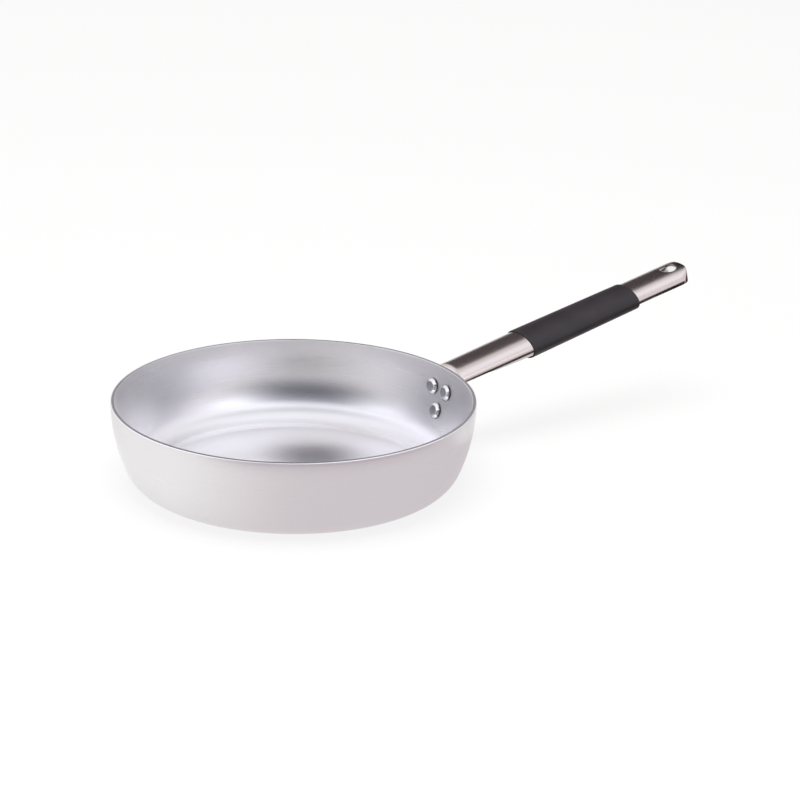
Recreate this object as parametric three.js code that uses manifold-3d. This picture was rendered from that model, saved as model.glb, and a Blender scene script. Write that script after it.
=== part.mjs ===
// Saute pan: a spun aluminium body, a pressed sheet-steel handle on three rivets, and a rubber grip sleeve.
// Millimetres, +Z up. The origin is the middle of the base's underside, and the handle points along +X.

import * as THREE from "three";
import { mergeVertices } from "three/addons/utils/BufferGeometryUtils.js";
import Module from "manifold-3d";

// Pan body: flat base, round corner, and a wall that bulges as one large arc and stands upright at the rim
const RIM_DIAMETER = 280;
const PAN_HEIGHT = 67;
const PAN_WALL = 3;
const WALL_ARC_RADIUS = 131; // outside of the wall
const CORNER_RADIUS = 25; // outside, between wall and base
const RIM_EDGE_RADIUS = 0.8; // both edges of the cut rim

// Handle axis: it leaves the rim's radius below the rim and climbs outwards
const HANDLE_DROP = 10.4;
const HANDLE_PITCH = THREE.MathUtils.degToRad(12);
const HANDLE_SHEET = 2;
const HANDLE_LENGTH = 239.8; // along the axis, from the rim's radius to the tip

// Handle section: an oval given by its half width, and by its height above and depth below the widest line
const NECK_HALF_WIDTH = 17.5;
const NECK_CROWN = 9.4;
const NECK_BELLY = 9.4;
const GRIP_START_HALF_WIDTH = 18.2;
const GRIP_START_CROWN = 9.9;
const GRIP_START_BELLY = 9.9;
const GRIP_END_HALF_WIDTH = 17.1;
const GRIP_END_CROWN = 8.9;
const GRIP_END_BELLY = 8.8;

// Handle ends: the crown bends down into the riveting plate, and the tip is a half ellipse in plan
const NECK_BEND_RADIUS = 6;
const TIP_ROUND_LENGTH = 12.4;
const TIP_EDGE_SHARPNESS = 8; // exponent of the rounding between the crown and the end wall
const HANGING_HOLE_DIAMETER = 14.7;
const HANGING_HOLE_TO_TIP = 13.8;

// Open underside: the wings stop at a lip below the widest line, and fold under towards the grip
const NECK_LIP = 1;
const TIP_LIP = 2.8;
const WING_FOLD_START = 28;
const WING_GAP_AT_GRIP = 32.4;
const WING_GAP_UNDER_GRIP = 9;
const WING_FOLD_LENGTH = 25; // under each end of the grip

// Grip sleeve
const GRIP_START = 75; // along the handle's axis
const GRIP_LENGTH = 107;
const GRIP_WALL = 0.7;
const GRIP_EDGE_RADIUS = 0.5;

// Rivets: two beside each other below the handle's crown, and one below them
const RIVET_PITCH = 18.7;
const RIVET_UPPER_DROP = 18.3; // below the rim, on the inside of the wall
const RIVET_LOWER_DROP = 35.4;
const RIVET_SHANK_DIAMETER = 7;
const RIVET_HEAD_DIAMETER = 13.2;
const RIVET_HEAD_TOP_DIAMETER = 8;
const RIVET_HEAD_HEIGHT = 2.4;
const RIVET_HEAD_LAND = 0.7; // straight edge of the head before its cone
const RIVET_TAIL_DIAMETER = 12;
const RIVET_TAIL_HEIGHT = 3;
const PLATE_MARGIN = 8.5; // from a rivet's axis to the edge of the riveting plate

// Clearance between pieces that touch
const SEAT_GAP = 0.3;

// Facets
const PAN_SEGMENTS = 96;
const OVAL_POINTS = 40;
const RIVET_SEGMENTS = 24;
const WALL_STEPS = 6;
const CORNER_STEPS = 6;
const RIM_STEPS = 2;
const BEND_STEPS = 5;
const TIP_STEPS = 9;
const DOME_STEPS = 4;

const wasm = await Module();
wasm.setup();

// A closed geometry as a solid for cutting and joining.
function toSolid(geometry) {
  const bare = geometry.clone();
  bare.deleteAttribute("normal");
  bare.deleteAttribute("uv");
  const merged = mergeVertices(bare, 1e-4);
  const source = merged.index.array;
  const corners = [];
  for (let i = 0; i < source.length; i += 3) {
    const [a, b, c] = [source[i], source[i + 1], source[i + 2]];
    if (a !== b && b !== c && c !== a) corners.push(a, b, c);
  }
  const mesh = new wasm.Mesh({
    numProp: 3,
    vertProperties: merged.attributes.position.array,
    triVerts: new Uint32Array(corners),
  });
  return new wasm.Manifold(mesh);
}

// A solid as a geometry that a mesh can show.
function toGeometry(solid) {
  const mesh = solid.getMesh();
  const geometry = new THREE.BufferGeometry();
  geometry.setAttribute("position", new THREE.BufferAttribute(mesh.vertProperties, 3));
  geometry.setIndex(new THREE.BufferAttribute(mesh.triVerts, 1));
  geometry.computeVertexNormals();
  return geometry;
}

// Points on a circular arc, both ends included.
function arc(centreX, centreY, radius, from, to, steps) {
  return Array.from({ length: steps + 1 }, (_, i) => {
    const angle = THREE.MathUtils.lerp(from, to, i / steps);
    return new THREE.Vector2(centreX + radius * Math.cos(angle), centreY + radius * Math.sin(angle));
  });
}

// A profile of radius and height, turned about +Z.
function turned(profile, segments) {
  return new THREE.LatheGeometry(profile, segments).rotateX(Math.PI / 2);
}

// Pan outline
const rimRadius = RIM_DIAMETER / 2;
const wallCentre = rimRadius - WALL_ARC_RADIUS; // radius of the wall arc's centre, at the rim's height
const wallAngle = Math.asin((PAN_HEIGHT - CORNER_RADIUS) / (WALL_ARC_RADIUS - CORNER_RADIUS));
const baseRadius = wallCentre + (WALL_ARC_RADIUS - CORNER_RADIUS) * Math.cos(wallAngle);

// One side of the pan's section from the base's edge to the rim, at a distance outside its outer surface.
function panSide(outside) {
  const corner = arc(
    baseRadius, CORNER_RADIUS, CORNER_RADIUS + outside, -Math.PI / 2, -wallAngle, CORNER_STEPS,
  );
  const wall = arc(wallCentre, PAN_HEIGHT, WALL_ARC_RADIUS + outside, -wallAngle, 0, WALL_STEPS);
  return [...corner, ...wall.slice(1)];
}

// The space that the pan fills, grown by a distance and carried on upwards past the rim.
function panSpace(outside) {
  const side = panSide(outside);
  const top = 2 * PAN_HEIGHT;
  const profile = [
    new THREE.Vector2(0, -outside),
    ...side,
    new THREE.Vector2(rimRadius + outside, top),
    new THREE.Vector2(0, top),
  ];
  return turned(profile, PAN_SEGMENTS);
}

// Rivet seats: each rivet's frame has its origin on the wall's inner face and +X outwards along its shank
const innerWallRadius = WALL_ARC_RADIUS - PAN_WALL;

function rivetSeat(drop, sideways) {
  const slope = Math.asin(drop / innerWallRadius);
  const radius = wallCentre + innerWallRadius * Math.cos(slope);
  const turn = Math.asin(sideways / radius);
  return new THREE.Matrix4()
    .makeRotationZ(turn)
    .multiply(new THREE.Matrix4().makeTranslation(radius, 0, PAN_HEIGHT - drop))
    .multiply(new THREE.Matrix4().makeRotationY(slope));
}

const rivetSeats = {
  rivet_left: rivetSeat(RIVET_UPPER_DROP, RIVET_PITCH / 2),
  rivet_right: rivetSeat(RIVET_UPPER_DROP, -RIVET_PITCH / 2),
  rivet_lower: rivetSeat(RIVET_LOWER_DROP, 0),
};

// The drilled holes of all three rivets, through the wall and the riveting plate.
function rivetDrills() {
  const radius = RIVET_SHANK_DIAMETER / 2 + SEAT_GAP;
  const length = 4 * (PAN_WALL + HANDLE_SHEET);
  const drill = new THREE.CylinderGeometry(radius, radius, length, RIVET_SEGMENTS).rotateZ(-Math.PI / 2);
  return Object.values(rivetSeats).map((seat) => drill.clone().applyMatrix4(seat));
}

// Pan body: a turned shell of even thickness, drilled for the rivets
function panBodyGeometry() {
  const outer = panSide(0);
  const inner = panSide(-PAN_WALL).reverse();
  const edge = RIM_EDGE_RADIUS;
  const rimHeight = PAN_HEIGHT - edge;
  const profile = [
    new THREE.Vector2(0, 0),
    ...outer.slice(0, -1),
    ...arc(rimRadius - edge, rimHeight, edge, 0, Math.PI / 2, RIM_STEPS),
    ...arc(rimRadius - PAN_WALL + edge, rimHeight, edge, Math.PI / 2, Math.PI, RIM_STEPS),
    ...inner.slice(1),
    new THREE.Vector2(0, PAN_WALL),
  ];
  let body = toSolid(turned(profile, PAN_SEGMENTS));
  for (const drill of rivetDrills()) body = body.subtract(toSolid(drill));
  return toGeometry(body);
}

// The handle's own frame: +X along its axis, +Z towards its crown
const handleGroup = new THREE.Group();
handleGroup.position.set(rimRadius, 0, PAN_HEIGHT - HANDLE_DROP);
handleGroup.rotation.y = -HANDLE_PITCH;
handleGroup.updateMatrix();
const intoHandle = handleGroup.matrix.clone().invert();

// The oval of the handle's outside at a place along its axis, even between its three named sections.
function handleOval(along) {
  const gripEnd = GRIP_START + GRIP_LENGTH;
  const beforeGrip = along < GRIP_START;
  const share = beforeGrip ? along / GRIP_START : (along - GRIP_START) / (gripEnd - GRIP_START);
  const between = THREE.MathUtils.clamp(share, 0, 1);
  const blend = (neck, start, end) =>
    beforeGrip ? THREE.MathUtils.lerp(neck, start, between) : THREE.MathUtils.lerp(start, end, between);
  return {
    halfWidth: blend(NECK_HALF_WIDTH, GRIP_START_HALF_WIDTH, GRIP_END_HALF_WIDTH),
    crown: blend(NECK_CROWN, GRIP_START_CROWN, GRIP_END_CROWN),
    belly: blend(NECK_BELLY, GRIP_START_BELLY, GRIP_END_BELLY),
  };
}

// One ring of points round an oval section.
function ovalRing(along, halfWidth, crown, belly) {
  return Array.from({ length: OVAL_POINTS }, (_, i) => {
    const angle = (2 * Math.PI * i) / OVAL_POINTS;
    const height = Math.sin(angle) > 0 ? crown : belly;
    return new THREE.Vector3(along, halfWidth * Math.cos(angle), height * Math.sin(angle));
  });
}

// A skin over rings of equal count, closed by a fan to a point at each end.
function loft(rings, first, last) {
  const points = [...rings.flat(), first, last];
  const [firstIndex, lastIndex] = [points.length - 2, points.length - 1];
  const lastRing = (rings.length - 1) * OVAL_POINTS;
  const faces = [];
  for (let i = 0; i < OVAL_POINTS; i += 1) {
    const next = (i + 1) % OVAL_POINTS;
    faces.push(firstIndex, next, i);
    faces.push(lastIndex, lastRing + i, lastRing + next);
    for (let row = 0; row < lastRing; row += OVAL_POINTS) {
      faces.push(row + i, row + next, row + OVAL_POINTS + next);
      faces.push(row + i, row + OVAL_POINTS + next, row + OVAL_POINTS + i);
    }
  }
  const geometry = new THREE.BufferGeometry();
  geometry.setFromPoints(points);
  geometry.setIndex(faces);
  return geometry;
}

// A ring of the tip: the ring at its start moved outwards, with the sides trimmed to the plan's half ellipse.
// The trim and the fall of the crown are power curves, so one rounding runs along the end wall's top edge.
function trimmedRing(ring, tipLength, angle) {
  const power = TIP_EDGE_SHARPNESS;
  const fall = (1 - Math.sin(angle) ** power) ** (1 / power);
  const trim = Math.cos(angle) ** -power - 1;
  const halfWidth = ring[0].y;
  return ring.map((point) => {
    const squeeze = (1 + Math.abs(point.y / halfWidth) ** power * trim) ** (1 / power);
    return new THREE.Vector3(point.x + tipLength * Math.sin(angle), point.y / squeeze, point.z * fall);
  });
}

// The solid inside the handle's outer surface, drawn in by an inset for the inside of the sheet.
function handleForm(inset) {
  const wallFace = NECK_CROWN * Math.tan(HANDLE_PITCH) + SEAT_GAP; // where the crown meets the pan's wall
  const bendCentre = wallFace + NECK_BEND_RADIUS;
  const bendRadius = NECK_BEND_RADIUS - inset;
  const bendDepth = NECK_CROWN - NECK_BEND_RADIUS;
  const buried = -PAN_WALL - NECK_BEND_RADIUS;
  const rings = [ovalRing(buried, NECK_HALF_WIDTH - inset, bendDepth, NECK_BELLY - inset)];
  for (const point of arc(bendCentre, bendDepth, bendRadius, Math.PI, Math.PI / 2, BEND_STEPS)) {
    const oval = handleOval(point.x);
    rings.push(ovalRing(point.x, oval.halfWidth - inset, point.y, oval.belly - inset));
  }
  const tipStart = HANDLE_LENGTH - TIP_ROUND_LENGTH;
  for (const along of [GRIP_START, GRIP_START + GRIP_LENGTH, tipStart]) {
    const oval = handleOval(along);
    rings.push(ovalRing(along, oval.halfWidth - inset, oval.crown - inset, oval.belly - inset));
  }
  const tipLength = TIP_ROUND_LENGTH - inset;
  const tipRing = rings.at(-1);
  for (let step = 1; step < TIP_STEPS; step += 1) {
    rings.push(trimmedRing(tipRing, tipLength, (Math.PI / 2) * (step / TIP_STEPS)));
  }
  const first = new THREE.Vector3(buried, 0, 0);
  const last = new THREE.Vector3(tipStart + tipLength, 0, 0);
  return loft(rings, first, last);
}

// The gap between the wings, cut from below: wide at the neck and the tip, narrow under the grip.
function wingGap() {
  const wide = 2 * GRIP_START_HALF_WIDTH;
  const foldEdge = handleOval(WING_FOLD_START).halfWidth;
  const gripEdge = WING_GAP_AT_GRIP / 2;
  const narrow = WING_GAP_UNDER_GRIP / 2;
  const gripEnd = GRIP_START + GRIP_LENGTH;
  const closed = GRIP_START + WING_FOLD_LENGTH;
  const opening = gripEnd - 2 * WING_FOLD_LENGTH;
  const opened = gripEnd - WING_FOLD_LENGTH / 2;
  const edge = new THREE.Path();
  edge.moveTo(-wide, wide);
  edge.lineTo(WING_FOLD_START, wide);
  edge.lineTo(WING_FOLD_START, foldEdge);
  edge.lineTo(GRIP_START, gripEdge);
  edge.bezierCurveTo((GRIP_START + closed) / 2, gripEdge, (GRIP_START + closed) / 2, narrow, closed, narrow);
  edge.lineTo(opening, narrow);
  edge.bezierCurveTo((opening + opened) / 2, narrow, (opening + opened) / 2, wide, opened, wide);
  edge.lineTo(HANDLE_LENGTH + wide, wide);
  const upper = edge.getPoints(CORNER_STEPS);
  const lower = upper.map((point) => new THREE.Vector2(point.x, -point.y)).reverse();
  const depth = 2 * GRIP_START_BELLY;
  const outline = new THREE.Shape([...upper, ...lower]);
  const lipSlope = Math.atan((TIP_LIP - NECK_LIP) / HANDLE_LENGTH);
  return new THREE.ExtrudeGeometry(outline, { depth, bevelEnabled: false })
    .translate(0, 0, -depth)
    .rotateY(lipSlope)
    .translate(0, 0, -NECK_LIP);
}

// The riveting plate's outline, seen along the handle: round about each rivet, and up to the handle's axis.
function plateOutline() {
  const heightOf = (drop) => PAN_HEIGHT - (drop / innerWallRadius) * (WALL_ARC_RADIUS + SEAT_GAP);
  const side = RIVET_PITCH / 2;
  const upper = heightOf(RIVET_UPPER_DROP);
  const lower = heightOf(RIVET_LOWER_DROP);
  const tangent = -Math.atan2(side, upper - lower);
  const top = PAN_HEIGHT - HANDLE_DROP;
  const outline = new THREE.Shape();
  outline.moveTo(side + PLATE_MARGIN, top);
  outline.absarc(side, upper, PLATE_MARGIN, 0, tangent, true);
  outline.absarc(0, lower, PLATE_MARGIN, tangent, -Math.PI - tangent, true);
  outline.absarc(-side, upper, PLATE_MARGIN, -Math.PI - tangent, -Math.PI, true);
  outline.lineTo(-side - PLATE_MARGIN, top);
  outline.closePath();
  return outline;
}

// Handle: one pressing of sheet steel, from the riveting plate and the bend at the neck to the closed tip
function handleGeometry() {
  const plateFace = toSolid(panSpace(SEAT_GAP + HANDLE_SHEET).applyMatrix4(intoHandle));
  const wallSpace = toSolid(panSpace(SEAT_GAP).applyMatrix4(intoHandle));
  const acrossHandle = new THREE.Matrix4().makeBasis(
    new THREE.Vector3(0, 1, 0), new THREE.Vector3(0, 0, 1), new THREE.Vector3(1, 0, 0),
  );
  const plateDepth = RIM_DIAMETER;
  const plateBlank = new THREE.ExtrudeGeometry(plateOutline(), {
    depth: plateDepth, bevelEnabled: false, curveSegments: CORNER_STEPS,
  });
  plateBlank.applyMatrix4(acrossHandle).applyMatrix4(intoHandle);
  const plate = toSolid(plateBlank).intersect(plateFace);
  const hollow = toSolid(handleForm(HANDLE_SHEET)).subtract(plateFace);
  const holeRadius = HANGING_HOLE_DIAMETER / 2;
  const holeDepth = 2 * GRIP_END_CROWN;
  const hole = new THREE.CylinderGeometry(holeRadius, holeRadius, holeDepth, RIVET_SEGMENTS)
    .rotateX(Math.PI / 2)
    .translate(HANDLE_LENGTH - HANGING_HOLE_TO_TIP, 0, holeDepth / 2);
  let handle = toSolid(handleForm(0)).subtract(hollow).subtract(toSolid(wingGap()));
  handle = handle.subtract(toSolid(hole)).add(plate).subtract(wallSpace);
  for (const drill of rivetDrills()) handle = handle.subtract(toSolid(drill.applyMatrix4(intoHandle)));
  return toGeometry(handle);
}

// The oval solid at a distance outside the steel, over a length of the handle, with rounded end edges.
function sleeveForm(outside, start, end, edge) {
  const stations = [
    [start, outside - edge],
    [start + edge * (1 - Math.SQRT1_2), outside - edge * (1 - Math.SQRT1_2)],
    [start + edge, outside],
    [end - edge, outside],
    [end - edge * (1 - Math.SQRT1_2), outside - edge * (1 - Math.SQRT1_2)],
    [end, outside - edge],
  ];
  const rings = stations.map(([along, grow]) => {
    const oval = handleOval(along);
    return ovalRing(along, oval.halfWidth + grow, oval.crown + grow, oval.belly + grow);
  });
  return loft(rings, new THREE.Vector3(start, 0, 0), new THREE.Vector3(end, 0, 0));
}

// Grip: a rubber sleeve pushed over the handle
function gripGeometry() {
  const end = GRIP_START + GRIP_LENGTH;
  const outer = sleeveForm(SEAT_GAP + GRIP_WALL, GRIP_START, end, GRIP_EDGE_RADIUS);
  const bore = sleeveForm(SEAT_GAP, GRIP_START - GRIP_WALL, end + GRIP_WALL, 0);
  return toGeometry(toSolid(outer).subtract(toSolid(bore)));
}

// Rivet: a low cone head inside the pan, a shank through wall and plate, and a domed tail outside
function rivetGeometry() {
  const headRadius = RIVET_HEAD_DIAMETER / 2;
  const shankRadius = RIVET_SHANK_DIAMETER / 2;
  const hollowing = headRadius ** 2 / (2 * innerWallRadius); // how far the wall curves in under the head
  const headSeat = -SEAT_GAP - hollowing;
  const headTop = headSeat - RIVET_HEAD_HEIGHT;
  const tailSeat = PAN_WALL + HANDLE_SHEET + 2 * SEAT_GAP;
  const dome = arc(0, 0, 1, 0, Math.PI / 2, DOME_STEPS).map(
    (point) => new THREE.Vector2((RIVET_TAIL_DIAMETER / 2) * point.x, tailSeat + RIVET_TAIL_HEIGHT * point.y),
  );
  dome[DOME_STEPS].x = 0;
  const profile = [
    new THREE.Vector2(0, headTop),
    new THREE.Vector2(RIVET_HEAD_TOP_DIAMETER / 2, headTop),
    new THREE.Vector2(headRadius, headSeat - RIVET_HEAD_LAND),
    new THREE.Vector2(headRadius, headSeat),
    new THREE.Vector2(shankRadius, headSeat),
    new THREE.Vector2(shankRadius, tailSeat),
    ...dome,
  ];
  const solid = toSolid(new THREE.LatheGeometry(profile, RIVET_SEGMENTS).rotateZ(-Math.PI / 2));
  return toGeometry(solid);
}

// Finishes
const satinAluminium = new THREE.MeshStandardMaterial({ color: 0xd2cfce, metalness: 1, roughness: 0.38 });
const polishedSteel = new THREE.MeshStandardMaterial({ color: 0xcfc8c6, metalness: 1, roughness: 0.12 });
const blackRubber = new THREE.MeshStandardMaterial({ color: 0x39363a, metalness: 0, roughness: 0.6 });
const turnedAluminium = new THREE.MeshStandardMaterial({ color: 0xc9c7c9, metalness: 1, roughness: 0.25 });

function piece(name, geometry, material) {
  const mesh = new THREE.Mesh(geometry, material.clone());
  mesh.name = name;
  return mesh;
}

// The whole pan
const sautePan = new THREE.Group();
sautePan.add(piece("pan_body", panBodyGeometry(), satinAluminium));
handleGroup.add(piece("handle", handleGeometry(), polishedSteel));
handleGroup.add(piece("grip_sleeve", gripGeometry(), blackRubber));
sautePan.add(handleGroup);
for (const [name, seat] of Object.entries(rivetSeats)) {
  const rivet = piece(name, rivetGeometry(), turnedAluminium);
  rivet.applyMatrix4(seat);
  sautePan.add(rivet);
}

export default sautePan;
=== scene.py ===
import math

import bmesh
import bpy
from mathutils import Matrix, Vector


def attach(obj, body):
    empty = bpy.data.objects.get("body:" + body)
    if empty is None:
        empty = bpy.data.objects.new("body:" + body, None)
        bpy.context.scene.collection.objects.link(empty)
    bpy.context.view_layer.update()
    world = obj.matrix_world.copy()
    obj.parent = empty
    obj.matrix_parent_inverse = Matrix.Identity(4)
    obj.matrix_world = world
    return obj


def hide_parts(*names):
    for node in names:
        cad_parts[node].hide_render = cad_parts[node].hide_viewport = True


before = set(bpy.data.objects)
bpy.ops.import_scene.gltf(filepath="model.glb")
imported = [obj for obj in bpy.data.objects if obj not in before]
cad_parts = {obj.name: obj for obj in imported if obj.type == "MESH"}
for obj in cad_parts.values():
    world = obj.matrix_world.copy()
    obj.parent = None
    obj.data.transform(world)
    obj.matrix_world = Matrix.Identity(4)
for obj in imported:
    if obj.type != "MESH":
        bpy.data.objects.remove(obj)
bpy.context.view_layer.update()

scene = bpy.context.scene
scene.view_settings.view_transform = "Standard"

# Camera
# A long lens about 2.6 m from the pan and 20 degrees above it.
# The handle points back and to the right.
camera_distance = 2.6
camera_height = 0.0671
camera_climb = math.radians(19.906)
camera_heading = Matrix.Rotation(math.radians(-32.07), 4, "Z")
camera_pan = math.radians(-33.976)
camera_tilt = math.radians(90 - 19.924)
camera_roll = math.radians(0.8686)


def new_object(name, data):
    """An object in the scene, at the origin."""
    thing = bpy.data.objects.new(name, data)
    scene.collection.objects.link(thing)
    return thing


camera_data = bpy.data.cameras.new("camera")
camera_data.sensor_width = 36
camera_data.lens = 152.84
camera_data.clip_end = 50
camera = new_object("camera", camera_data)
scene.camera = camera
camera_back = -camera_distance * math.cos(camera_climb)
camera_up = camera_height + camera_distance * math.sin(camera_climb)
camera.matrix_world = (
    Matrix.Translation(camera_heading @ Vector((0, camera_back, camera_up)))
    @ Matrix.Rotation(camera_pan, 4, "Z")
    @ Matrix.Rotation(camera_tilt, 4, "X")
    @ Matrix.Rotation(camera_roll, 4, "Z")
)

# Studio
# A pale floor, a white surround and one soft lamp overhead. Soft boxes and dark cards, which only
# reflections see, give the metal the light and dark fields of a studio.
white = (1, 1, 1, 1)
floor_radius = 8
floor_height = -0.0004
floor_glow_share = 0.8
card_rows = 12
card_columns = 24


def set_inputs(tree, node, inputs):
    """Fill a node's inputs, each with a value or with a link from a socket."""
    for socket, value in inputs.items():
        if isinstance(value, bpy.types.NodeSocket):
            tree.links.new(value, node.inputs[socket])
        else:
            node.inputs[socket].default_value = value


def tree_node(tree, kind, inputs=None, **settings):
    """A new node in a tree, with its settings and then its inputs."""
    node = tree.nodes.new(kind)
    for setting, value in settings.items():
        setattr(node, setting, value)
    set_inputs(tree, node, inputs or {})
    return node


def tree_sum(tree, operation, first, second=0.0):
    """One step of arithmetic in a node tree, on values or sockets."""
    return tree_node(tree, "ShaderNodeMath", {0: first, 1: second}, operation=operation).outputs[0]


def mixed_surface(tree, share, first, second, output="ShaderNodeOutputMaterial"):
    """The end of a shader tree: two shaders mixed by a share of the second."""
    mix = tree_node(
        tree, "ShaderNodeMixShader", {"Fac": share, 1: first.outputs[0], 2: second.outputs[0]}
    )
    tree_node(tree, output, {"Surface": mix.outputs[0]})


world = bpy.data.worlds.new("white_surround")
scene.world = world
world.use_nodes = True
tree = world.node_tree
tree.nodes.clear()
light_path = tree_node(tree, "ShaderNodeLightPath").outputs
seen = tree_sum(tree, "ADD", light_path["Is Camera Ray"], light_path["Is Glossy Ray"])
seen = tree_sum(tree, "ADD", seen, light_path["Is Transmission Ray"])
seen.node.use_clamp = True
fill_light = tree_node(
    tree, "ShaderNodeBackground", {"Color": (1, 0.99, 0.98, 1), "Strength": 0.65}
)
white_light = tree_node(tree, "ShaderNodeBackground", {"Color": white, "Strength": 1})
mixed_surface(tree, seen, fill_light, white_light, "ShaderNodeOutputWorld")


def new_material(name):
    """A material made of nodes, and its tree."""
    material = bpy.data.materials.new(name)
    material.use_nodes = True
    return material, material.node_tree


floor_material, tree = new_material("pale_floor")
tree.nodes.clear()
floor_paint = tree_node(tree, "ShaderNodeBsdfDiffuse", {"Color": (0.9, 0.9, 0.9, 1)})
floor_white = tree_node(tree, "ShaderNodeEmission", {"Color": white, "Strength": 1})
mixed_surface(tree, floor_glow_share, floor_paint, floor_white)


def built_mesh(name, build):
    """A mesh from a finished build."""
    mesh = bpy.data.meshes.new(name)
    build.to_mesh(mesh)
    build.free()
    return mesh


floor_build = bmesh.new()
bmesh.ops.create_circle(floor_build, cap_ends=True, segments=64, radius=floor_radius)
bmesh.ops.translate(floor_build, verts=floor_build.verts, vec=(0, 0, floor_height))
floor = new_object("floor", built_mesh("floor", floor_build))
floor.data.materials.append(floor_material)

lamp_data = bpy.data.lights.new("overhead_lamp", "AREA")
lamp_data.shape = "DISK"
lamp_data.size = 1.6
lamp_data.energy = 32
lamp = new_object("overhead_lamp", lamp_data)
lamp.location = (-0.3, -0.2, 2.2)
lamp.visible_glossy = False


def between(ends, share):
    """A value a share of the way from one end to the other."""
    return ends[0] + (ends[1] - ends[0]) * share


def soft_card(name, place, soft, shade):
    """A glowing card that only reflections see. Soft gives the shares of its width and height over
    which its edges fade out."""
    build = bmesh.new()
    uv_layer = build.loops.layers.uv.new("card")
    grid = []
    for row in range(card_rows + 1):
        line = [place(column / card_columns, row / card_rows) for column in range(card_columns + 1)]
        grid.append([build.verts.new(camera_heading @ point) for point in line])
    for row in range(card_rows):
        for column in range(card_columns):
            corners = ((row, column), (row, column + 1), (row + 1, column + 1), (row + 1, column))
            face = build.faces.new([grid[i][j] for i, j in corners])
            for loop, (i, j) in zip(face.loops, corners):
                loop[uv_layer].uv = (j / card_columns, i / card_rows)
    material, tree = new_material(name)
    tree.nodes.clear()
    uv = tree_node(tree, "ShaderNodeTexCoord").outputs["UV"]
    sides = tree_node(tree, "ShaderNodeSeparateXYZ", {0: uv}).outputs
    cover = 1
    for axis, width in zip("XY", soft):
        for edge, inside in ((0, width), (1, 1 - width)):
            fade = tree_node(
                tree,
                "ShaderNodeMapRange",
                {"Value": sides[axis], "From Min": edge, "From Max": inside},
                interpolation_type="SMOOTHSTEP",
            )
            cover = tree_sum(tree, "MULTIPLY", cover, fade.outputs["Result"])
    strength = max(shade)
    colour = (*[value / strength for value in shade], 1)
    glow = tree_node(tree, "ShaderNodeEmission", {"Color": colour, "Strength": strength})
    clear = tree_node(tree, "ShaderNodeBsdfTransparent")
    mixed_surface(tree, cover, clear, glow)
    card = new_object(name, built_mesh(name, build))
    card.data.materials.append(material)
    card.visible_camera = False
    card.visible_diffuse = False
    card.visible_shadow = False
    card.visible_transmission = False


def standing_card(name, azimuths, climbs, distance, soft, shade, middle=(0, 0, 0)):
    """A card on a sphere about a point. For the camera, azimuth 0 is straight behind the pan and 90
    is to its right."""

    def place(across, upward):
        azimuth = math.radians(between(azimuths, across))
        climb = math.radians(between(climbs, upward))
        level = math.cos(climb)
        out = Vector((math.sin(azimuth) * level, math.cos(azimuth) * level, math.sin(climb)))
        return Vector(middle) + distance * out

    soft_card(name, place, soft, shade)


def lying_card(name, azimuths, reaches, height, soft, shade):
    """A level card, part of a ring round the pan's axis."""

    def place(across, outward):
        azimuth = math.radians(between(azimuths, across))
        reach = reaches[0] * (reaches[1] / reaches[0]) ** outward
        return Vector((reach * math.sin(azimuth), reach * math.cos(azimuth), height))

    soft_card(name, place, soft, shade)


standing_card(
    "dark_card_behind", azimuths=(-30, 46), climbs=(4, 65), distance=6.1,
    soft=(0.36, 0.15), shade=(0.012, 0.012, 0.016),
)
standing_card(
    "soft_box_right", azimuths=(50, 135), climbs=(-10, 28), distance=6.0,
    soft=(0.35, 0.3), shade=(1.12, 1.09, 1.2),
)
standing_card(
    "soft_box_left", azimuths=(228, 324), climbs=(-1, 70), distance=5.9,
    soft=(0.34, 0.15), shade=(1.38, 1.39, 1.56),
)
standing_card(
    "soft_box_high_right", azimuths=(17, 189), climbs=(43.9, 86.6), distance=5.8,
    soft=(0.33, 0.23), shade=(1.38, 1.41, 1.53),
)
standing_card(
    "soft_box_front", azimuths=(118, 263), climbs=(17, 43.1), distance=5.7,
    soft=(0.11, 0.09), shade=(2.5, 2.56, 2.78),
)
standing_card(
    "dark_card_low_at_camera", azimuths=(122, 258), climbs=(3.5, 35), distance=5.6,
    soft=(0.36, 0.38), shade=(0.03, 0.03, 0.06),
)
standing_card(
    "dark_card_high_at_camera", azimuths=(148, 246), climbs=(31, 62), distance=5.5,
    soft=(0.36, 0.23), shade=(0.04, 0.04, 0.055),
)
lying_card(
    "soft_box_overhead", azimuths=(0, 360), reaches=(0.05, 1.376), height=5.4,
    soft=(0.0001, 0.27), shade=(1.28, 1.32, 1.47),
)
lying_card(
    "grey_floor_near", azimuths=(-89, 241), reaches=(0.038, 0.484), height=-0.0003,
    soft=(0.21, 0.2), shade=(0.735, 0.69, 0.715),
)
lying_card(
    "grey_floor_front", azimuths=(85, 231), reaches=(0.229, 7.85), height=-0.0002,
    soft=(0.19, 0.17), shade=(0.42, 0.36, 0.405),
)
lying_card(
    "white_floor_under_handle", azimuths=(32, 92), reaches=(0.19, 0.34), height=-0.0001,
    soft=(0.2, 0.2), shade=(1, 1, 1),
)

# A dark hood hangs over the handle's far side, dark strips under its near side, and a dark card
# past its tip. They follow the handle's axis, here in the camera's heading.
handle_foot = Vector((0.119, 0.074, 0.057))
handle_axis = Vector((0.829, 0.519, 0.208))
handle_back = Vector((-0.53, 0.847, 0))
handle_up = Vector((-0.176, -0.110, 0.978))
strip_shade = (0.008, 0.006, 0.006)


def handle_card(name, alongs, leans, distance, soft, shade):
    """A card bent round the handle's axis. Lean 0 is level on its far side, 90 above it and 180
    level on its near side."""

    def place(across, round_axis):
        lean = math.radians(between(leans, round_axis))
        out = math.cos(lean) * handle_back + math.sin(lean) * handle_up
        return handle_foot + between(alongs, across) * handle_axis + distance * out

    soft_card(name, place, soft, shade)


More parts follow.
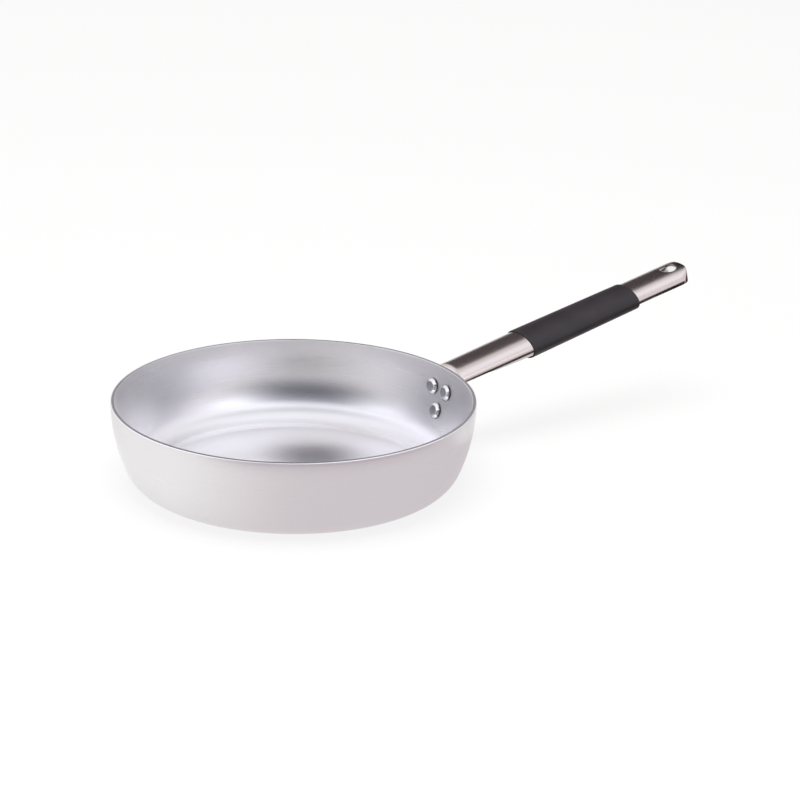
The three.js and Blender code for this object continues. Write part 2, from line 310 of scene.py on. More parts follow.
handle_card(
    "dark_hood", alongs=(0.086, 0.446), leans=(3, 72), distance=0.318,
    soft=(0.15, 0.2), shade=(0.095, 0.078, 0.085),
)
handle_card(
    "dark_strip_at_neck", alongs=(0.037, 0.133), leans=(192, 232), distance=0.09,
    soft=(0.1, 0.1), shade=strip_shade,
)
handle_card(
    "dark_strip_under_grip", alongs=(0.14, 0.25), leans=(195, 262), distance=0.1,
    soft=(0.05, 0.2), shade=(0.03, 0.025, 0.03),
)
handle_card(
    "dark_strip_past_grip", alongs=(0.235, 0.275), leans=(190, 238), distance=0.118,
    soft=(0.05, 0.08), shade=strip_shade,
)
handle_card(
    "dark_strip_at_tip", alongs=(0.265, 0.36), leans=(189, 258), distance=0.12,
    soft=(0.04, 0.07), shade=strip_shade,
)
standing_card(
    "dark_card_past_tip", azimuths=(25, 90), climbs=(-35, 15), distance=0.1,
    soft=(0.2, 0.2), shade=(0.06, 0.02, 0.025), middle=(0.31, 0.193, 0.105),
)

# Pan body
# One aluminium disc spun to a flat base, a round corner and a bulging wall, upright at the cut rim.
# It is brushed in circles while it turns, so its grooves run round the pan inside and out.
rim_radius = 0.140
pan_height = 0.067
pan_wall = 0.003
wall_arc_radius = 0.131
corner_radius = 0.025
rim_edge_radius = 0.0008
rim_inner_edge_radius = 0.0004
rim_edge_lead = 0.2
rim_edge_steps = 4
wall_steps = 20
corner_steps = 16
base_rings = 12
pan_segments = 256
pan_colour = (0.82, 0.805, 0.81, 1)

wall_centre = rim_radius - wall_arc_radius
corner_from_wall = wall_arc_radius - corner_radius
wall_angle = math.asin((pan_height - corner_radius) / corner_from_wall)
base_radius = wall_centre + corner_from_wall * math.cos(wall_angle)


def arc_points(centre, radius, start, end, steps):
    """Points on an arc, given by its centre, radius and angles."""
    points = []
    for step in range(steps + 1):
        angle = start + (end - start) * step / steps
        points.append((centre[0] + radius * math.cos(angle), centre[1] + radius * math.sin(angle)))
    return points


def pan_side(inset, edge_radius):
    """The pan's section from the base's edge up to just below the rim, set in from the outside."""
    corner_centre = (base_radius, corner_radius)
    corner = arc_points(
        corner_centre, corner_radius - inset, -math.pi / 2, -wall_angle, corner_steps
    )
    top = -math.asin(edge_radius / (wall_arc_radius - inset))
    wall = arc_points(
        (wall_centre, pan_height), wall_arc_radius - inset, -wall_angle, top, wall_steps
    )
    return corner + wall[1:]


base_steps = [base_radius * step / base_rings for step in range(base_rings)]
outer_edge = (rim_radius - rim_edge_radius, pan_height - rim_edge_radius)
inner_edge = (rim_radius - pan_wall + rim_inner_edge_radius, pan_height - rim_inner_edge_radius)
pan_section = [(radius, 0) for radius in base_steps]
pan_section += pan_side(0, rim_edge_radius)
pan_section += arc_points(outer_edge, rim_edge_radius, rim_edge_lead, math.pi / 2, rim_edge_steps)
pan_section += arc_points(
    inner_edge, rim_inner_edge_radius, math.pi / 2, math.pi - rim_edge_lead, rim_edge_steps
)
pan_section += pan_side(pan_wall, rim_inner_edge_radius)[::-1]
pan_section += [(radius, pan_wall) for radius in base_steps[::-1]]

# A turned piece's node tree: each row of a grid takes its radius and height from one point of the
# section, each column takes its angle, and the seam and the middle are then closed.
seam_reach = 0.000002
turned_crease = math.radians(30)
turning_tree = bpy.data.node_groups.new("turning", "GeometryNodeTree")
turning_tree.interface.new_socket("Section", in_out="INPUT", socket_type="NodeSocketGeometry")
turning_tree.interface.new_socket("Segments", in_out="INPUT", socket_type="NodeSocketInt")
turning_tree.interface.new_socket("Turned piece", in_out="OUTPUT", socket_type="NodeSocketGeometry")
given = tree_node(turning_tree, "NodeGroupInput").outputs
here = tree_node(turning_tree, "GeometryNodeInputPosition").outputs[0]
section_size = tree_node(turning_tree, "GeometryNodeAttributeDomainSize", {0: given["Section"]})
section_points = section_size.outputs["Point Count"]
blank_rings = tree_sum(turning_tree, "ADD", given["Segments"], 1)
blank = tree_node(
    turning_tree,
    "GeometryNodeMeshGrid",
    {"Size X": 1, "Size Y": 1, "Vertices X": section_points, "Vertices Y": blank_rings},
)
blank_place = tree_node(turning_tree, "ShaderNodeSeparateXYZ", {0: here}).outputs
row_share = tree_sum(turning_tree, "ADD", blank_place["X"], 0.5)
last_row = tree_sum(turning_tree, "SUBTRACT", section_points, 1)
row_place = tree_sum(turning_tree, "MULTIPLY", row_share, last_row)
row_number = tree_sum(turning_tree, "ROUND", row_place)
turn_share = tree_sum(turning_tree, "ADD", blank_place["Y"], 0.5)
turn_angle = tree_sum(turning_tree, "MULTIPLY", turn_share, 2 * math.pi)
section_point = tree_node(
    turning_tree,
    "GeometryNodeSampleIndex",
    {"Geometry": given["Section"], "Value": here, "Index": row_number},
    data_type="FLOAT_VECTOR",
)
section_part = tree_node(
    turning_tree, "ShaderNodeSeparateXYZ", {0: section_point.outputs[0]}
).outputs
length_here = tree_node(
    turning_tree, "GeometryNodeInputNamedAttribute", {"Name": "along_section"}, data_type="FLOAT"
)
section_length = tree_node(
    turning_tree,
    "GeometryNodeSampleIndex",
    {
        "Geometry": given["Section"],
        "Value": length_here.outputs["Attribute"],
        "Index": row_number,
    },
    data_type="FLOAT",
)
blank_uv = tree_node(turning_tree, "ShaderNodeSeparateXYZ", {0: blank.outputs["UV Map"]}).outputs
turning_uv = tree_node(
    turning_tree, "ShaderNodeCombineXYZ", {"X": blank_uv["Y"], "Y": section_length.outputs[0]}
)
keep_uv = tree_node(
    turning_tree,
    "GeometryNodeStoreNamedAttribute",
    {"Geometry": blank.outputs["Mesh"], "Name": "turning", "Value": turning_uv.outputs[0]},
    data_type="FLOAT2",
    domain="CORNER",
)
turn_cosine = tree_sum(turning_tree, "COSINE", turn_angle)
turn_sine = tree_sum(turning_tree, "SINE", turn_angle)
turned_place = tree_node(
    turning_tree,
    "ShaderNodeCombineXYZ",
    {
        "X": tree_sum(turning_tree, "MULTIPLY", section_part["X"], turn_cosine),
        "Y": tree_sum(turning_tree, "MULTIPLY", section_part["X"], turn_sine),
        "Z": section_part["Z"],
    },
)
bend_round = tree_node(
    turning_tree,
    "GeometryNodeSetPosition",
    {"Geometry": keep_uv.outputs[0], "Position": turned_place.outputs[0]},
)
close_seam = tree_node(
    turning_tree,
    "GeometryNodeMergeByDistance",
    {"Geometry": bend_round.outputs[0], "Distance": seam_reach},
)
smooth_faces = tree_node(
    turning_tree, "GeometryNodeSetShadeSmooth", {"Geometry": close_seam.outputs[0]}
)
edge_angle = tree_node(turning_tree, "GeometryNodeInputMeshEdgeAngle").outputs["Unsigned Angle"]
crease = tree_node(
    turning_tree,
    "GeometryNodeSetShadeSmooth",
    {
        "Geometry": smooth_faces.outputs[0],
        "Selection": tree_sum(turning_tree, "GREATER_THAN", edge_angle, turned_crease),
        "Shade Smooth": False,
    },
    domain="EDGE",
)
outward = tree_node(turning_tree, "GeometryNodeFlipFaces", {"Mesh": crease.outputs[0]})
tree_node(turning_tree, "NodeGroupOutput", {"Turned piece": outward.outputs[0]})


def section_mesh(name, section):
    """A turned piece's section as points that know their distance along it."""
    mesh = bpy.data.meshes.new(name)
    mesh.from_pydata([(radius, 0, height) for radius, height in section], [], [])
    lengths = [0.0]
    for near, far in zip(section, section[1:]):
        lengths.append(lengths[-1] + math.dist(near, far))
    mesh.attributes.new("along_section", "FLOAT", "POINT").data.foreach_set("value", lengths)
    return mesh


def tone_ramp(tree, share, stops, interpolation="LINEAR"):
    """A colour that changes with a share, by stops of position and colour."""
    ramp = tree_node(tree, "ShaderNodeValToRGB", {"Fac": share})
    ramp.color_ramp.interpolation = interpolation
    elements = ramp.color_ramp.elements
    for index, (position, colour) in enumerate(stops):
        stop = elements[index] if index < 2 else elements.new(position)
        stop.position = position
        stop.color = (*colour, 1)
    return ramp.outputs["Color"]


def brushed_metal(name, zones, anisotropy, groove_scale, groove_depth):
    """Metal brushed round its turning, its colour still to be given, and the share of the way along
    its section. Zones give the roughness by distance along the section, in metres."""
    groove_ring = 2.5
    material, tree = new_material(name)
    uv = tree_node(tree, "ShaderNodeUVMap", uv_map="turning").outputs["UV"]
    place = tree_node(tree, "ShaderNodeSeparateXYZ", {0: uv}).outputs
    angle = tree_sum(tree, "MULTIPLY", place["X"], 2 * math.pi)
    groove_place = tree_node(
        tree,
        "ShaderNodeCombineXYZ",
        {
            "X": tree_sum(tree, "MULTIPLY", tree_sum(tree, "COSINE", angle), groove_ring),
            "Y": tree_sum(tree, "MULTIPLY", tree_sum(tree, "SINE", angle), groove_ring),
            "Z": tree_sum(tree, "MULTIPLY", place["Y"], groove_scale),
        },
    )
    grooves = tree_node(
        tree,
        "ShaderNodeTexNoise",
        {"Vector": groove_place.outputs[0], "Scale": 1, "Detail": 4, "Roughness": 0.6},
    ).outputs["Fac"]
    streaks = tree_node(
        tree,
        "ShaderNodeMapRange",
        {"Value": grooves, "From Min": 0.25, "From Max": 0.75, "To Min": 0.965, "To Max": 1.035},
    )
    section_end = zones[-1][0]
    section_share = tree_sum(tree, "DIVIDE", place["Y"], section_end)
    stops = [(length / section_end, [roughness] * 3) for length, roughness in zones]
    zone_roughness = tone_ramp(tree, section_share, stops, "EASE")
    relief = tree_node(
        tree,
        "ShaderNodeBump",
        {"Height": grooves, "Strength": groove_depth, "Distance": 0.0002},
    )
    tangent = tree_node(tree, "ShaderNodeTangent", direction_type="UV_MAP", uv_map="turning")
    set_inputs(
        tree,
        tree.nodes["Principled BSDF"],
        {
            "Metallic": 1,
            "Anisotropic": anisotropy,
            "Roughness": tree_sum(tree, "MULTIPLY", zone_roughness, streaks.outputs["Result"]),
            "Tangent": tangent.outputs[0],
            "Normal": relief.outputs["Normal"],
        },
    )
    return material, section_share


# Roughness along the section: under the base, outside, at the rim, on the inner wall, in the inner
# corner and on the finer inner floor.
pan_zones = [
    (0.0, 0.28), (0.186, 0.28), (0.1885, 0.36), (0.193, 0.36), (0.195, 0.28),
    (0.240, 0.28), (0.246, 0.45), (0.256, 0.45), (0.263, 0.25), (0.274, 0.21),
    (0.302, 0.19), (0.325, 0.145), (0.377, 0.125),
]
pan_material, _ = brushed_metal(
    "brushed_aluminium", pan_zones, anisotropy=0.8, groove_scale=3200, groove_depth=0.002
)
tree = pan_material.node_tree
set_inputs(tree, tree.nodes["Principled BSDF"], {"Base Color": pan_colour})


def close_tree(tree, geometry, material):
    """The end of a piece's tree: plain geometry with its material."""
    plain = tree_node(tree, "GeometryNodeRealizeInstances", {0: geometry})
    paint = tree_node(
        tree, "GeometryNodeSetMaterial", {"Geometry": plain.outputs[0], "Material": material}
    )
    tree_node(tree, "NodeGroupOutput", {0: paint.outputs[0]})


pan_tree = bpy.data.node_groups.new("spun_pan", "GeometryNodeTree")
pan_tree.interface.new_socket("Section", in_out="INPUT", socket_type="NodeSocketGeometry")
pan_segments_socket = pan_tree.interface.new_socket(
    "Segments", in_out="INPUT", socket_type="NodeSocketInt"
)
pan_tree.interface.new_socket("Pan", in_out="OUTPUT", socket_type="NodeSocketGeometry")
given = tree_node(pan_tree, "NodeGroupInput").outputs
spin = tree_node(
    pan_tree,
    "GeometryNodeGroup",
    {"Section": given["Section"], "Segments": given["Segments"]},
    node_tree=turning_tree,
)
close_tree(pan_tree, spin.outputs[0], pan_material)


def worked_mesh(piece):
    """A piece's mesh as its modifiers leave it. The piece takes it and loses the modifiers."""
    worked = piece.evaluated_get(bpy.context.evaluated_depsgraph_get())
    mesh = bpy.data.meshes.new_from_object(worked)
    piece.modifiers.clear()
    piece.data = mesh
    return mesh


pan_body = new_object("pan_body_looks", section_mesh("pan_section", pan_section))
spinning = pan_body.modifiers.new("spinning", "NODES")
spinning.node_group = pan_tree
spinning[pan_segments_socket.identifier] = pan_segments
worked_mesh(pan_body)
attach(pan_body, "root")
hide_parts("pan_body")

# Handle
# One pressing of polished sheet steel: an oval tube open underneath, with a closed tip and a round
# hanging hole. Its crown bends down at the pan into a plate on the wall that takes the rivets.
handle_drop = 0.0104
handle_pitch = math.radians(12)
handle_sheet = 0.002
handle_length = 0.2398
grip_start = 0.075
grip_length = 0.107
seat_gap = 0.0003
neck_bend = 0.006
tip_round = 0.0124
tip_sharpness = 8
hole_radius = 0.00735
hole_from_tip = 0.0138
neck_lip = 0.001
tip_lip = 0.0024
fold_start = 0.028
gap_at_grip = 0.0324
gap_under_grip = 0.009
fold_length = 0.025
rivet_pitch = 0.0187
rivet_upper_drop = 0.0183
rivet_lower_drop = 0.0354
plate_margin = 0.0085
neck_oval = (0.0175, 0.0094, 0.0094)
grip_start_oval = (0.0182, 0.0099, 0.0099)
grip_end_oval = (0.0171, 0.0089, 0.0088)
section_steps = 56
bend_steps = 8
tube_steps = 110
tip_steps = 15

grip_end = grip_start + grip_length
handle_foot_height = pan_height - handle_drop
handle_place = (
    Matrix.Translation((rim_radius, 0, handle_foot_height)) @ Matrix.Rotation(-handle_pitch, 4, "Y")
)


def handle_oval(along):
    """Half width, crown and belly of the handle's outside at a distance along its axis."""
    if along < grip_start:
        share, ovals = max(along / grip_start, 0), zip(neck_oval, grip_start_oval)
    else:
        share = min((along - grip_start) / grip_length, 1)
        ovals = zip(grip_start_oval, grip_end_oval)
    return [between(ends, share) for ends in ovals]


def eased(share):
    """A share that starts and ends gently."""
    return share * share * (3 - 2 * share)


def lip_angle(along):
    """How far below the widest line the sheet runs on, as an angle of the oval."""
    half_width, _, belly = handle_oval(along)
    plain = math.asin(between((neck_lip, tip_lip), max(along, 0) / handle_length) / belly)
    closed = grip_start + fold_length
    opening = grip_end - 2 * fold_length
    opened = grip_end - fold_length / 2
    if along < fold_start or along > opened:
        return plain
    if along < grip_start:
        share = (along - fold_start) / (grip_start - fold_start)
        half_gap = between((handle_oval(fold_start)[0], gap_at_grip / 2), share)
    elif along < closed:
        share = eased((along - grip_start) / fold_length)
        half_gap = between((gap_at_grip / 2, gap_under_grip / 2), share)
    elif along < opening:
        half_gap = gap_under_grip / 2
    else:
        share = eased((along - opening) / (opened - opening))
        half_gap = between((gap_under_grip / 2, half_width), share)
    return max(plain, math.acos(min(half_gap / half_width, 1)))


def wall_radius(height, outside):
    """The radius of the pan's wall at a height, grown outwards by a distance."""
    drop = max(pan_height - height, 0)
    return wall_centre + math.sqrt((wall_arc_radius + outside) ** 2 - drop**2)


def wall_reach(y, height, outside):
    """Where a line along the handle at this place across it meets the pan's grown wall."""
    search, halvings = 0.03, 40
    near, far = -search, search
    for _ in range(halvings):
        middle = (near + far) / 2
        point = handle_place @ Vector((middle, y, height))
        if math.hypot(point.x, point.y) < wall_radius(point.z, outside):
            near = middle
        else:
            far = middle
    return far


def handle_rings(inset):
    """Rows of points across the handle, from the pan to the tip, set in from its outside."""
    wall_face = neck_oval[1] * math.tan(handle_pitch) + seat_gap
    bend_depth = neck_oval[1] - neck_bend
    bend_end = wall_face + neck_bend
    tip_start = handle_length - tip_round
    stations = []
    for step in range(bend_steps + 1):
        angle = math.pi - math.pi / 2 * step / bend_steps
        along = bend_end + (neck_bend - inset) * math.cos(angle)
        stations.append((along, bend_depth + (neck_bend - inset) * math.sin(angle)))
    for step in range(1, tube_steps + 1):
        along = bend_end + (tip_start - bend_end) * step / tube_steps
        stations.append((along, handle_oval(along)[1] - inset))
    rings = []
    for along, crown in [(None, bend_depth)] + stations:
        place = 0 if along is None else along
        half_width, _, belly = handle_oval(place)
        lip = lip_angle(place)
        ring = []
        for step in range(section_steps + 1):
            angle = -lip + (math.pi + 2 * lip) * step / section_steps
            y = (half_width - inset) * math.cos(angle)
            z = (crown if 0 < angle < math.pi else belly - inset) * math.sin(angle)
            reach = wall_reach(y, z, seat_gap + inset)
            ring.append(Vector((reach if along is None else max(along, reach), y, z)))
        rings.append(ring)
    last_ring = rings[-1]
    half_width = grip_end_oval[0] - inset
    for step in range(1, tip_steps):
        angle = math.pi / 2 * step / tip_steps
        along = tip_start + (tip_round - inset) * math.sin(angle)
        fall = (1 - math.sin(angle) ** tip_sharpness) ** (1 / tip_sharpness)
        trim = math.cos(angle) ** -tip_sharpness - 1
        ring = []
        for _, y, z in last_ring:
            squeeze = (1 + abs(y / half_width) ** tip_sharpness * trim) ** (1 / tip_sharpness)
            ring.append(Vector((along, y / squeeze, z * fall if z > 0 else z)))
        rings.append(ring)
    return rings


handle_build = bmesh.new()
outer, inner = [
    [[handle_build.verts.new(point) for point in ring] for ring in handle_rings(inset)]
    for inset in (0, handle_sheet)
]
for upper, lower, upper_in, lower_in in zip(outer, outer[1:], inner, inner[1:]):
    for step in range(section_steps):
        after = step + 1
        handle_build.faces.new((upper[step], upper[after], lower[after], lower[step]))
        handle_build.faces.new((upper_in[after], upper_in[step], lower_in[step], lower_in[after]))
    handle_build.faces.new((upper_in[0], upper[0], lower[0], lower_in[0]))
    handle_build.faces.new((upper[-1], upper_in[-1], lower_in[-1], lower[-1]))
for step in range(section_steps):
    after = step + 1
    handle_build.faces.new((inner[0][step], inner[0][after], outer[0][after], outer[0][step]))
for step in range(section_steps // 2):
    other = section_steps - step
    corners = [step, step + 1, other - 1, other]
    if step + 1 == other - 1:
        corners.remove(step + 1)
    handle_build.faces.new([outer[-1][corner] for corner in corners])
    handle_build.faces.new([inner[-1][corner] for corner in reversed(corners)])
handle_build.faces.new((inner[-1][0], outer[-1][0], outer[-1][-1], inner[-1][-1]))
bmesh.ops.recalc_face_normals(handle_build, faces=handle_build.faces)
handle_build.transform(handle_place)
handle = new_object("handle_looks", built_mesh("handle_tube", handle_build))

# The riveting plate follows the wall. Its outline is round about each rivet.
plate_columns = 16
plate_upper_steps = 8
plate_lower_steps = 12
plate_foot_angle = -math.pi / 2 + 0.02
inner_wall_radius = wall_arc_radius - pan_wall
rivet_side = rivet_pitch / 2
plate_growth = (wall_arc_radius + seat_gap) / inner_wall_radius
upper_height = pan_height - rivet_upper_drop * plate_growth
lower_height = pan_height - rivet_lower_drop * plate_growth
tangent_angle = -math.atan2(rivet_side, upper_height - lower_height)
plate_edge = [(rivet_side + plate_margin, handle_foot_height)]
plate_edge += arc_points(
    (rivet_side, upper_height), plate_margin, 0, tangent_angle, plate_upper_steps
)
plate_edge += arc_points(
    (0, lower_height), plate_margin, tangent_angle, plate_foot_angle, plate_lower_steps
)
plate_build = bmesh.new()
layers = []
for outside in (seat_gap, seat_gap + handle_sheet):
    rows = []
    for half_width, height in plate_edge:
        row = []
        for column in range(plate_columns + 1):
            y = half_width * (1 - 2 * column / plate_columns)
            x = math.sqrt(wall_radius(height, outside) ** 2 - y**2)
            row.append(plate_build.verts.new((x, y, height)))
        rows.append(row)
    layers.append(rows)
under, over = layers
for row in range(len(plate_edge) - 1):
    for column in range(plate_columns):
        for skin, near, far in ((over, column, column + 1), (under, column + 1, column)):
            plate_build.faces.new(
                (skin[row][near], skin[row + 1][near], skin[row + 1][far], skin[row][far])
            )
    for near, far, side in ((under, over, 0), (over, under, -1)):
        plate_build.faces.new(
            (near[row][side], near[row + 1][side], far[row + 1][side], far[row][side])
        )
for near, far, end in ((under, over, 0), (over, under, -1)):
    for column in range(plate_columns):
        after = column + 1
        plate_build.faces.new(
            (near[end][column], far[end][column], far[end][after], near[end][after])
        )
bmesh.ops.recalc_face_normals(plate_build, faces=plate_build.faces)

# The plate is one with the tube, and the hanging hole is punched through the crown.
punch_length = 0.03
hole_along = handle_length - hole_from_tip
punch_build = bmesh.new()
bmesh.ops.create_cone(
    punch_build,
    cap_ends=True,
    segments=96,
    radius1=hole_radius,
    radius2=hole_radius,
    depth=punch_length,
    matrix=handle_place @ Matrix.Translation((hole_along, 0, punch_length / 2)),
)
tools = []
for name, operation, build in (
    ("plate", "UNION", plate_build),
    ("punch", "DIFFERENCE", punch_build),
):
    tool = new_object(name, built_mesh(name, build))
    working = handle.modifiers.new(name, "BOOLEAN")
    working.operation = operation
    working.solver = "EXACT"
    working.object = tool
    tools.append(tool)
pressed_mesh = worked_mesh(handle)
for tool in tools:
    bpy.data.objects.remove(tool)

# Each face knows whether it is polished outside, cut at the edge of the hole or inside the tube.
# The inside is painted near white as painted light, so that the hole shows white through it.
# The cut edge of the hole is painted dark.
polished_outside, cut_edge, inside_painted_light = 0.0, 0.5, 1.0
hole_reach = hole_radius + 0.0001
upright_limit = 0.3
inward_limit = -0.2
sheet_crease = math.radians(40)
finish_build = bmesh.new()
finish_build.from_mesh(pressed_mesh)
sheet_face = finish_build.faces.layers.float.new("sheet_face")
to_handle = handle_place.inverted()
for face in finish_build.faces:
    face.smooth = True
    middle = to_handle @ face.calc_center_median()
    facing = to_handle.to_3x3() @ face.normal
    half_width, crown, _ = handle_oval(middle.x)
    into_tip = max(middle.x - handle_length + tip_round, 0) / tip_round
    out = Vector((into_tip ** (tip_sharpness - 1), middle.y / half_width, middle.z / crown))
    in_hole = math.hypot(middle.x - hole_along, middle.y) < hole_reach
    if in_hole and abs(facing.z) < upright_limit and middle.z > 0:
        face[sheet_face] = cut_edge
    elif facing.dot(out) < inward_limit:
        face[sheet_face] = inside_painted_light
for edge in finish_build.edges:
    edge.smooth = len(edge.link_faces) != 2 or edge.calc_face_angle(0) < sheet_crease
finish_build.to_mesh(pressed_mesh)
finish_build.free()

# Tones: the polished outside, the cut edge painted dark, and the inside painted near white as
# painted light.
steel_tones = [
    (polished_outside, (0.60, 0.535, 0.515)),
    (cut_edge, (0.34, 0.26, 0.27)),
    (inside_painted_light, (0.93, 0.92, 0.92)),
]
polish_scale = (18, 900, 900)
steel, tree = new_material("polished_steel")
face_side = tree_node(tree, "ShaderNodeAttribute", attribute_name="sheet_face").outputs["Fac"]
place = tree_node(tree, "ShaderNodeTexCoord").outputs["Object"]
along_handle = tree_node(
    tree,
    "ShaderNodeMapping",
    {"Vector": place, "Rotation": (0, handle_pitch, 0), "Scale": polish_scale},
)
polish = tree_node(
    tree, "ShaderNodeTexNoise", {"Vector": along_handle.outputs[0], "Scale": 1, "Detail": 3}
).outputs["Fac"]
polish_roughness = tree_node(
    tree, "ShaderNodeMapRange", {"Value": polish, "To Min": 0.18, "To Max": 0.28}
)
polish_lines = tree_node(
    tree, "ShaderNodeBump", {"Height": polish, "Strength": 0.02, "Distance": 0.0001}
)
set_inputs(
    tree,
    tree.nodes["Principled BSDF"],
    {
        "Base Color": tone_ramp(tree, face_side, steel_tones),
        "Metallic": 1,
        "Roughness": polish_roughness.outputs["Result"],
        "Normal": polish_lines.outputs["Normal"],
    },
)
pressed_mesh.materials.clear()
pressed_mesh.materials.append(steel)
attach(handle, "root")
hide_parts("handle")

# Grip sleeve
# A thin black rubber tube pushed over the middle of the handle, where its own stretch holds it.
# Its ends are cut square and have soft edges.
grip_wall = 0.0007
grip_edge_radius = 0.0005
grip_edge_steps = 3
grip_steps = 40
grip_points = 72
grip_crease = math.radians(50)
grip_edge = []
for step in range(grip_edge_steps + 1):
    angle = math.pi / 2 * step / grip_edge_steps
    from_end = grip_edge_radius * (1 - math.cos(angle))
    grip_edge.append((from_end, grip_wall - grip_edge_radius * (1 - math.sin(angle))))
grip_loop = [(grip_start + from_end, thick) for from_end, thick in grip_edge]
grip_loop += [
    (grip_start + grip_length * step / grip_steps, grip_wall) for step in range(1, grip_steps)
]
grip_loop += [(grip_end - from_end, thick) for from_end, thick in grip_edge[::-1]]
grip_loop += [(grip_end, 0), (grip_start, 0)]
grip_build = bmesh.new()
grip_rows = []
for along, thick in grip_loop:
    half_width, crown, belly = handle_oval(along)
    grow = seat_gap + thick
    row = []
    for point in range(grip_points):
        angle = 2 * math.pi * point / grip_points
        y = (half_width + grow) * math.cos(angle)
        z = ((crown if math.sin(angle) > 0 else belly) + grow) * math.sin(angle)
        row.append(grip_build.verts.new(handle_place @ Vector((along, y, z))))
    grip_rows.append(row)
for row, after_row in zip(grip_rows, grip_rows[1:] + grip_rows[:1]):
    for point in range(grip_points):
        after = (point + 1) % grip_points
        face = grip_build.faces.new((row[point], row[after], after_row[after], after_row[point]))
        face.smooth = True
bmesh.ops.recalc_face_normals(grip_build, faces=grip_build.faces)
for edge in grip_build.edges:
    edge.smooth = edge.calc_face_angle(0) < grip_crease
grip = new_object("grip_sleeve_looks", built_mesh("grip_sleeve_looks", grip_build))

rubber_tones = [(0.3, (0.018, 0.014, 0.0165)), (0.7, (0.027, 0.021, 0.0255))]
rubber, tree = new_material("black_rubber")
place = tree_node(tree, "ShaderNodeTexCoord").outputs["Object"]
clouds = tree_node(
    tree, "ShaderNodeTexNoise", {"Vector": place, "Scale": 60, "Detail": 5}
).outputs["Fac"]
rubber_roughness = tree_node(
    tree, "ShaderNodeMapRange", {"Value": clouds, "To Min": 0.48, "To Max": 0.62}
)
pores = tree_node(tree, "ShaderNodeTexNoise", {"Vector": place, "Scale": 2500}).outputs["Fac"]
pore_relief = tree_node(
    tree, "ShaderNodeBump", {"Height": pores, "Strength": 0.15, "Distance": 0.0001}
)
set_inputs(
    tree,
    tree.nodes["Principled BSDF"],
    {
        "Base Color": tone_ramp(tree, clouds, rubber_tones),
        "Specular IOR Level": 0.35,
        "Roughness": rubber_roughness.outputs["Result"],
        "Normal": pore_relief.outputs["Normal"],
    },
)
grip.data.materials.append(rubber)
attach(grip, "root")
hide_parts("grip_sleeve")

# Rivets
# Three aluminium rivets through wall and plate: low cone heads turned bright inside the pan, domed
# tails outside. One rivet is turned here, and a node tree sets it at each of the drilled places.
rivet_count = 3
rivet_head_radius = 0.0066
rivet_head_top_radius = 0.004
rivet_head_height = 0.0024
rivet_head_land = 0.0007
rivet_shank_radius = 0.0035
rivet_tail_radius = 0.006
rivet_tail_height = 0.003
rivet_bevel = 0.0001
rivet_top_bevel_share = 0.06
rivet_tail_steps = 8
rivet_segments = 64
head_seat = -seat_gap - rivet_head_radius**2 / (2 * inner_wall_radius)
head_land = head_seat - rivet_head_land
head_top = head_seat - rivet_head_height
tail_seat = pan_wall + handle_sheet + 2 * seat_gap
head_top_rings = (0, 0.25, 0.5, 0.75, 1 - rivet_top_bevel_share)
rivet_section = [(rivet_head_top_radius * share, head_top) for share in head_top_rings]
rivet_section += [
    (rivet_head_top_radius * (1 + rivet_top_bevel_share), head_top + rivet_bevel),
    (rivet_head_radius - 2 * rivet_bevel, head_land - rivet_bevel),
    (rivet_head_radius, head_land + rivet_bevel),
    (rivet_head_radius, head_seat),
    (rivet_shank_radius, head_seat),
    (rivet_shank_radius, tail_seat),
]
for step in range(rivet_tail_steps + 1):
    angle = math.pi / 2 * step / rivet_tail_steps
    tail_height = tail_seat + rivet_tail_height * math.sin(angle)
    rivet_section.append((rivet_tail_radius * math.cos(angle), tail_height))
rivets = new_object("rivets_looks", section_mesh("rivet_section", rivet_section))

# Roughness and tone along the section, from the middle of the head to the middle of the tail.
# Painted shade: a dark ring round the edge of each head's flat top, and a dark line where each
# head's edge meets the wall.
rivet_length = 0.0268
rivet_zones = [(0.0, 0.15), (0.0066, 0.12), (0.0074, 0.3), (0.0195, 0.3), (rivet_length, 0.2)]
rivet_tones_and_painted_shade = [
    (0.0, 0.66), (0.0035, 0.62), (0.0039, 0.3), (0.0043, 0.62), (0.0064, 0.62),
    (0.0070, 0.18), (0.0080, 0.12), (0.0110, 0.5), (rivet_length, 0.62),
]
rivet_tint = (1, 0.977, 0.985)
rivet_material, rivet_share = brushed_metal(
    "turned_aluminium", rivet_zones, anisotropy=0.5, groove_scale=2500, groove_depth=0.01
)
tree = rivet_material.node_tree
stops = [
    (length / rivet_length, [tone * tint for tint in rivet_tint]) for length, tone in rivet_tones_and_painted_shade
]
set_inputs(
    tree, tree.nodes["Principled BSDF"], {"Base Color": tone_ramp(tree, rivet_share, stops)}
)

rivet_sizes = {
    "Pitch": rivet_pitch,
    "Upper drop": rivet_upper_drop,
    "Lower drop": rivet_lower_drop,
    "Wall radius": inner_wall_radius,
    "Wall centre": wall_centre,
    "Rim height": pan_height,
}
rivet_tree = bpy.data.node_groups.new("rivet_places", "GeometryNodeTree")
rivet_tree.interface.new_socket("Section", in_out="INPUT", socket_type="NodeSocketGeometry")
rivet_sockets = {}
for name in rivet_sizes:
    socket = rivet_tree.interface.new_socket(name, in_out="INPUT", socket_type="NodeSocketFloat")
    rivet_sockets[name] = socket.identifier
rivet_tree.interface.new_socket("Rivets", in_out="OUTPUT", socket_type="NodeSocketGeometry")
given = tree_node(rivet_tree, "NodeGroupInput").outputs

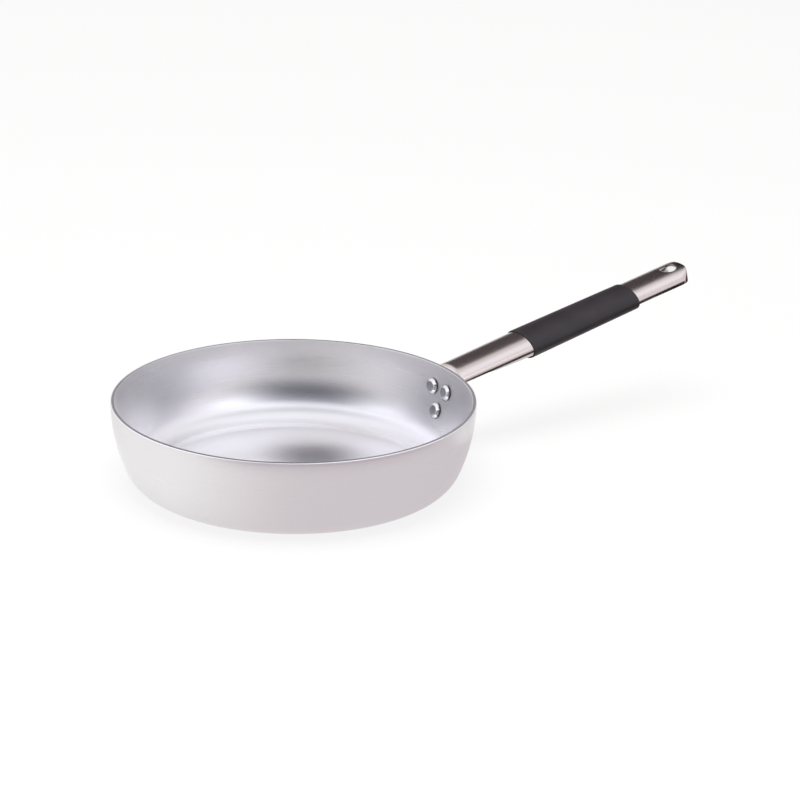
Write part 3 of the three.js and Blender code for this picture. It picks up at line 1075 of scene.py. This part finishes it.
# Rivets 0 and 1 are the upper pair and rivet 2 is the lower one.
number = tree_node(rivet_tree, "GeometryNodeInputIndex").outputs[0]
is_lower = tree_sum(rivet_tree, "GREATER_THAN", number, 1.5)
is_upper = tree_sum(rivet_tree, "SUBTRACT", 1, is_lower)
upper_drop = tree_sum(rivet_tree, "MULTIPLY", is_upper, given["Upper drop"])
lower_drop = tree_sum(rivet_tree, "MULTIPLY", is_lower, given["Lower drop"])
drop = tree_sum(rivet_tree, "ADD", upper_drop, lower_drop)
half_side = tree_sum(rivet_tree, "SUBTRACT", 0.5, number)
side = tree_sum(rivet_tree, "MULTIPLY", is_upper, half_side)
sideways = tree_sum(rivet_tree, "MULTIPLY", side, given["Pitch"])
drop_share = tree_sum(rivet_tree, "DIVIDE", drop, given["Wall radius"])
slope = tree_sum(rivet_tree, "ARCSINE", drop_share)
slope_cosine = tree_sum(rivet_tree, "COSINE", slope)
from_centre = tree_sum(rivet_tree, "MULTIPLY", given["Wall radius"], slope_cosine)
from_axis = tree_sum(rivet_tree, "ADD", given["Wall centre"], from_centre)
turn = tree_sum(rivet_tree, "ARCSINE", tree_sum(rivet_tree, "DIVIDE", sideways, from_axis))
spot = tree_node(
    rivet_tree,
    "ShaderNodeCombineXYZ",
    {
        "X": tree_sum(rivet_tree, "MULTIPLY", from_axis, tree_sum(rivet_tree, "COSINE", turn)),
        "Y": sideways,
        "Z": tree_sum(rivet_tree, "SUBTRACT", given["Rim height"], drop),
    },
)
lean = tree_node(rivet_tree, "ShaderNodeCombineXYZ", {"Y": slope, "Z": turn})
aim = tree_node(rivet_tree, "FunctionNodeEulerToRotation", {0: lean.outputs[0]})
spots = tree_node(
    rivet_tree, "GeometryNodePoints", {"Count": rivet_count, "Position": spot.outputs[0]}
)
spin = tree_node(
    rivet_tree,
    "GeometryNodeGroup",
    {"Section": given["Section"], "Segments": rivet_segments},
    node_tree=turning_tree,
)
laid_down = tree_node(
    rivet_tree,
    "GeometryNodeTransform",
    {"Geometry": spin.outputs[0], "Rotation": (0, math.pi / 2, 0)},
)
setting = tree_node(
    rivet_tree,
    "GeometryNodeInstanceOnPoints",
    {
        "Points": spots.outputs[0],
        "Instance": laid_down.outputs[0],
        "Rotation": aim.outputs[0],
    },
)
close_tree(rivet_tree, setting.outputs[0], rivet_material)
riveting = rivets.modifiers.new("riveting", "NODES")
riveting.node_group = rivet_tree
for name, value in rivet_sizes.items():
    riveting[rivet_sockets[name]] = value
worked_mesh(rivets)
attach(rivets, "root")
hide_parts("rivet_left", "rivet_right", "rivet_lower")
